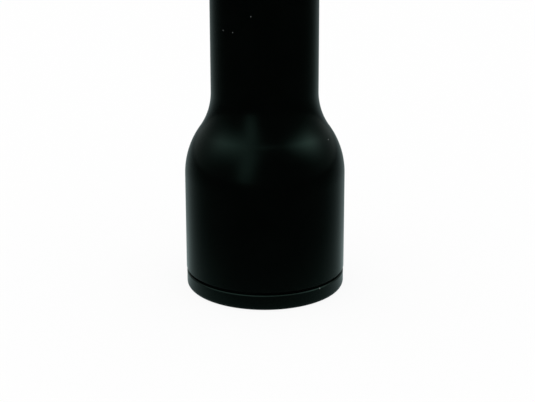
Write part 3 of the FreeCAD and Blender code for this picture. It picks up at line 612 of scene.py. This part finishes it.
dial_outline = soften([
    (DIAL_BORE, dial_low.z, 0.05),
    (knurl_r - CHAMFER, dial_low.z),
    (knurl_r - CHAMFER / 2, dial_low.z + CHAMFER / 2),
    (knurl_r, dial_low.z + CHAMFER),
    (knurl_r, dial_low.z + 0.4),
    (knurl_r, knurl_end - 0.12),
    (knurl_r - 0.03, knurl_end - 0.03),
    (knurl_r - 0.1, knurl_end),
    (dial_r, knurl_end),
    (dial_r, knurl_end + 0.08),
    (dial_r, dial_high.z - CHAMFER, SOFT),
    (dial_r - CHAMFER, dial_high.z, SOFT),
    (DIAL_BORE, dial_high.z, 0.05),
])
dial_drills = [radial_drill(*hole, *DIAL_DRILL_SPAN) for hole in (DRIVE_SCREW_HOLE, LOCK_SCREW_HOLE)]
dial_mesh = drilled(lathe("aperture_dial", dial_outline, DIAL_SEGMENTS, knurl), dial_drills)
piece = finish_mesh("aperture_dial", dial_mesh, "aperture_ring", ring_black)
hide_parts("aperture_ring")


# Camera mount: register, flange and thread

CAMERA_R = 12.7
CAMERA_PITCH = 0.794
CAMERA_DEPTH = 0.48
CAMERA_LENGTH = 4
CAMERA_CHAMFER = 0.4
CAMERA_FADE = 0.4
CAMERA_ROWS_PER_PITCH = 12
MOUNT_BORE = 10.5
REGISTER_R = 13

flange_end = mount_high.z - CAMERA_LENGTH


def camera_thread(radius, height, angle):
    """External thread that fades in at the flange and is cut by the chamfer at its end."""
    if radius < CAMERA_R - 0.45 or radius > CAMERA_R + 0.01 or height < flange_end + 0.01:
        return radius
    fade = min(max((height - flange_end) / CAMERA_FADE, 0), 1)
    depth = CAMERA_DEPTH * fade * (1 - groove_share(height / CAMERA_PITCH - angle / (2 * math.pi)))
    return min(radius, CAMERA_R - depth)


camera_rows = []
for step in range(int(CAMERA_LENGTH / CAMERA_PITCH * CAMERA_ROWS_PER_PITCH)):
    height = flange_end + step * CAMERA_PITCH / CAMERA_ROWS_PER_PITCH
    camera_rows.append((min(CAMERA_R, CAMERA_R - (height - (mount_high.z - CAMERA_CHAMFER))), height))
mount_outline = soften([
    (MOUNT_BORE, mount_low.z),
    (REGISTER_R, mount_low.z),
    (REGISTER_R, rear_high.z),
    (tube_r - CHAMFER, rear_high.z, SOFT),
    (tube_r, rear_high.z + CHAMFER, SOFT),
    (tube_r, flange_end - CHAMFER, SOFT),
    (tube_r - CHAMFER, flange_end, SOFT),
    *camera_rows,
    (CAMERA_R - CAMERA_CHAMFER, mount_high.z),
    (MOUNT_BORE, mount_high.z, 0.15),
])
mount_mesh = lathe("camera_mount_turned", mount_outline, TURNED_SEGMENTS, camera_thread)
piece = finish_mesh("camera_mount_turned", mount_mesh, "lens_body", ring_black)
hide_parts("camera_mount")


# Dial: stop numbers and lines on the ring, one line on the housing

STOPS = (("4", 270), ("5.6", 251.8), ("8", 238.1), ("11", 228.9), ("16", 222))
NUMBER_SIZE = 1.5
NUMBER_EDGE = 0.3
NUMBER_DROP = 2.1
STOP_LINE = (0.2, 0.75)
STOP_DROP = 1.15
INDEX_LINE = (0.25, 2.6)
INDEX_RISE = 0.45
INDEX_AZIMUTH = 270
PAINT_RISE = 0.01


def wrapped(name, mesh, azimuth, radius, height, body):
    """Lay a flat mesh, in millimetres, on a cylinder round the optical axis."""
    for vertex in mesh.vertices:
        angle = math.radians(azimuth) + vertex.co.x / radius
        vertex.co = Vector((radius * math.cos(angle), radius * math.sin(angle), height + vertex.co.y)) * MM
    new_piece(name, mesh, body, paint)


def number_mesh(text):
    """Flat mesh of a number, centred on its origin, fine enough to bend."""
    curve = bpy.data.curves.new("number", "FONT")
    curve.body = text
    curve.size = NUMBER_SIZE
    curve.align_x = "CENTER"
    curve.align_y = "CENTER"
    curve.resolution_u = 6
    flat = placed("number", curve)
    mesh = evaluated_mesh(flat)
    bpy.data.objects.remove(flat)
    work = bmesh.new()
    work.from_mesh(mesh)
    bmesh.ops.triangulate(work, faces=work.faces)
    for _ in range(2):
        long_edges = [edge for edge in work.edges if edge.calc_length() > NUMBER_EDGE]
        bmesh.ops.subdivide_edges(work, edges=long_edges, cuts=1)
        bmesh.ops.triangulate(work, faces=work.faces)
    work.to_mesh(mesh)
    work.free()
    return mesh


def line_mesh(width, length):
    """Flat upright line."""
    half = width / 2
    mesh = bpy.data.meshes.new("line")
    corners = [(-half, 0, 0), (half, 0, 0), (half, length, 0), (-half, length, 0)]
    mesh.from_pydata(corners, [], [(0, 1, 2, 3)])
    return mesh


paint_r = dial_r + PAINT_RISE
for text, azimuth in STOPS:
    tag = text.replace(".", "_")
    wrapped("stop_number_" + tag, number_mesh(text), azimuth, paint_r, dial_high.z - NUMBER_DROP,
            "aperture_ring")
    wrapped("stop_line_" + tag, line_mesh(*STOP_LINE), azimuth, paint_r, dial_high.z - STOP_DROP,
            "aperture_ring")
wrapped("index_line", line_mesh(*INDEX_LINE), INDEX_AZIMUTH, tube_r + PAINT_RISE, neck_end + INDEX_RISE,
        "lens_body")


# Inner pieces keep their solids and get their finish

FINISHES = {
    "front_retaining_ring": matt, "front_spacer": matt, "front_baffle": matt, "rear_baffle": matt,
    "iris_base_plate": matt, "iris_retaining_ring": matt, "iris_cam_ring": matt, "relay_cell": matt,
    "relay_spacer": matt, "relay_retaining_ring": matt,
    "front_crown_lens": front_glass, "front_flint_lens": front_glass, "front_singlet_lens": front_glass,
    "relay_crown_lens": relay_glass, "relay_flint_lens": relay_glass, "relay_singlet_lens": relay_glass,
    "iris_drive_screw": screw_black, "lock_screw": screw_black, "mount_set_screws": screw_black,
}
for number in range(1, 7):
    FINISHES[f"iris_blade_{number}"] = blade_black
for name, material in FINISHES.items():
    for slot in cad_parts[name].material_slots:
        slot.material = material


# Studio: pale floor that shows a painted glow in reflections, mirrored surroundings that are bright at the
# back, seven soft glows and one lamp

FLOOR_HALF = 3
FLOOR_WHITE = 0.9
FLOOR_SIDE_LEVEL, FLOOR_STEEPNESS, FLOOR_SHIFT = 0.045, 2.6, 0.012
SKY_SIDE_LEVEL, SKY_STEEPNESS = 0.035, 2.2
SKY_LEVEL = 0.95
MIRRORED_LIMIT = 0.36
OVERHEAD_LEVEL = 0.6

# Azimuth, elevation and spread in degrees, and level next to white: five on the left, two on the right
SOFT_LIGHTS = (
    (-94, 43, 13, 0.42), (-60, 50, 14, 0.26), (-27, 38, 9, 0.13), (-28, 20, 9, 0.15), (-29, 3, 9, 0.09),
    (98, 44, 12.5, 0.94), (68, 48, 9, 0.15),
)
LAMP_TOWARD = (-20, 78)
LAMP_DISTANCE = 1.2
LAMP_POWER = 1.2
LAMP_WIDTH, LAMP_DEPTH = 1.4, 0.9


def surroundings(tree, place, side_level, steepness, shift=0.0):
    """Distance from the axis, share of it that leads back, and mirrored brightness.

    The brightness is high at the back and low in front.
    """
    flat = vector_math(tree, "MULTIPLY", place, (1, 1, 0), "Vector")
    far = node(tree, "ShaderNodeVectorMath", {0: flat}, operation="LENGTH").outputs["Value"]
    depth = node(tree, "ShaderNodeSeparateXYZ", {"Vector": place}).outputs["Y"]
    back = math_of(tree, "ADD", depth, shift)
    share = math_of(tree, "DIVIDE", back, math_of(tree, "MAXIMUM", far, 0.001))
    grown = math_of(tree, "EXPONENT", math_of(tree, "MULTIPLY", share, steepness))
    level = math_of(tree, "MINIMUM", math_of(tree, "MULTIPLY", grown, side_level), MIRRORED_LIMIT)
    return far, share, level


def toward(azimuth, elevation):
    """Direction seen from the object; azimuth 0 is towards the camera and grows to its right."""
    side, up = math.radians(azimuth), math.radians(elevation)
    return Vector((math.sin(side) * math.cos(up), -math.cos(side) * math.cos(up), math.sin(up)))


def glow(tree, direction, azimuth, elevation, spread, level):
    """Soft round patch of light in the surroundings; its spread is in degrees."""
    cosine = vector_math(tree, "DOT_PRODUCT", direction, toward(azimuth, elevation), "Value")
    fall = math_of(tree, "DIVIDE", math_of(tree, "SUBTRACT", cosine, 1.0), math.radians(spread) ** 2)
    return math_of(tree, "MULTIPLY", math_of(tree, "EXPONENT", fall), level)


def mixed(tree, share, first, second):
    """Shader between two others."""
    return node(tree, "ShaderNodeMixShader", {0: share, 1: first, 2: second}).outputs["Shader"]


def painted_floor_glow(tree, place):
    """Painted glow of the floor, seen only in reflections: it fades with distance, and is raised close to the
    lens.
    """
    far, share, level = surroundings(tree, place, FLOOR_SIDE_LEVEL, FLOOR_STEEPNESS, FLOOR_SHIFT)
    behind = math_of(tree, "MAXIMUM", share, 0.0)
    power = math_of(tree, "SUBTRACT", 0.92, math_of(tree, "MULTIPLY", behind, 0.65))
    ratio = math_of(tree, "DIVIDE", 0.055, math_of(tree, "MAXIMUM", far, 0.05))
    fading = math_of(tree, "POWER", ratio, power)
    # Painted glow: in reflections the floor is made brighter close to the lens
    inside = math_of(tree, "SUBTRACT", head_r * MM, far)
    near = math_of(tree, "EXPONENT", math_of(tree, "DIVIDE", inside, 0.014))
    beside = stretch(tree, share, -0.6, 1.0, 0.05, 0.36)
    faded = math_of(tree, "MULTIPLY", level, fading)
    return math_of(tree, "ADD", faded, math_of(tree, "MULTIPLY", near, beside))


def floor_material():
    """Pale floor that the camera sees as white with a soft shadow; it isn't seen from below."""
    material, tree, output, place = new_material("pale_floor")
    path = node(tree, "ShaderNodeLightPath")
    grain = noise(tree, place, 300, 3)
    pale = blend_colours(tree, grain, (0.93, 0.93, 0.93, 1), (0.96, 0.96, 0.96, 1))
    lit = node(tree, "ShaderNodeBsdfDiffuse", {"Color": pale}).outputs["BSDF"]
    white = node(tree, "ShaderNodeEmission", {"Color": (1, 1, 1, 1), "Strength": 1.0}).outputs["Emission"]
    shown = mixed(tree, FLOOR_WHITE, lit, white)
    level = painted_floor_glow(tree, place)
    # In reflections the floor shows this painted glow as an emission instead of its lit colour
    mirrored = node(tree, "ShaderNodeEmission", {"Color": (0.8, 1, 1, 1), "Strength": level})
    seen = mixed(tree, path.outputs["Is Camera Ray"], lit, shown)
    seen = mixed(tree, path.outputs["Is Glossy Ray"], seen, mirrored.outputs["Emission"])
    clear = node(tree, "ShaderNodeBsdfTransparent").outputs["BSDF"]
    below = node(tree, "ShaderNodeNewGeometry").outputs["Backfacing"]
    tree.links.new(mixed(tree, below, seen, clear), output.inputs["Surface"])
    return material


floor_mesh = bpy.data.meshes.new("floor")
floor_corners = [(-FLOOR_HALF, -FLOOR_HALF, 0), (FLOOR_HALF, -FLOOR_HALF, 0),
                 (FLOOR_HALF, FLOOR_HALF, 0), (-FLOOR_HALF, FLOOR_HALF, 0)]
floor_mesh.from_pydata(floor_corners, [], [(0, 1, 2, 3)])
floor_mesh.materials.append(floor_material())
floor = placed("floor", floor_mesh)

world = bpy.data.worlds.new("studio")
world.use_nodes = True
world.cycles.sampling_method = "NONE"
tree = world.node_tree
tree.nodes.clear()
path = node(tree, "ShaderNodeLightPath")
direction = node(tree, "ShaderNodeTexCoord").outputs["Generated"]
upward = node(tree, "ShaderNodeSeparateXYZ", {"Vector": direction}).outputs["Z"]
overhead = stretch(tree, upward, 0.8, 0.9, 0, OVERHEAD_LEVEL)
around = surroundings(tree, direction, SKY_SIDE_LEVEL, SKY_STEEPNESS)[2]
mirrored = math_of(tree, "MAXIMUM", around, overhead)
for azimuth, elevation, spread, level in SOFT_LIGHTS:
    mirrored = math_of(tree, "ADD", mirrored, glow(tree, direction, azimuth, elevation, spread, level))
is_mirrored = path.outputs["Is Glossy Ray"]
strength = node(tree, "ShaderNodeMix", {0: is_mirrored, 2: SKY_LEVEL, 3: mirrored}).outputs[0]
direct = math_of(tree, "MAXIMUM", path.outputs["Is Camera Ray"], path.outputs["Is Transmission Ray"])
strength = node(tree, "ShaderNodeMix", {0: direct, 2: strength, 3: 1.0}).outputs[0]
colour = blend_colours(tree, is_mirrored, (1, 1, 1, 1), (0.88, 1, 0.98, 1))
light = node(tree, "ShaderNodeBackground", {"Color": colour, "Strength": strength})
output = node(tree, "ShaderNodeOutputWorld")
tree.links.new(light.outputs["Background"], output.inputs["Surface"])
bpy.context.scene.world = world

lamp_data = bpy.data.lights.new("overhead", "AREA")
lamp_data.shape = "RECTANGLE"
lamp_data.size = LAMP_WIDTH
lamp_data.size_y = LAMP_DEPTH
lamp_data.energy = LAMP_POWER
lamp = placed("overhead", lamp_data)
lamp.location = toward(*LAMP_TOWARD) * LAMP_DISTANCE
lamp.rotation_euler = toward(*LAMP_TOWARD).to_track_quat("Z", "Y").to_euler()
lamp.visible_glossy = False
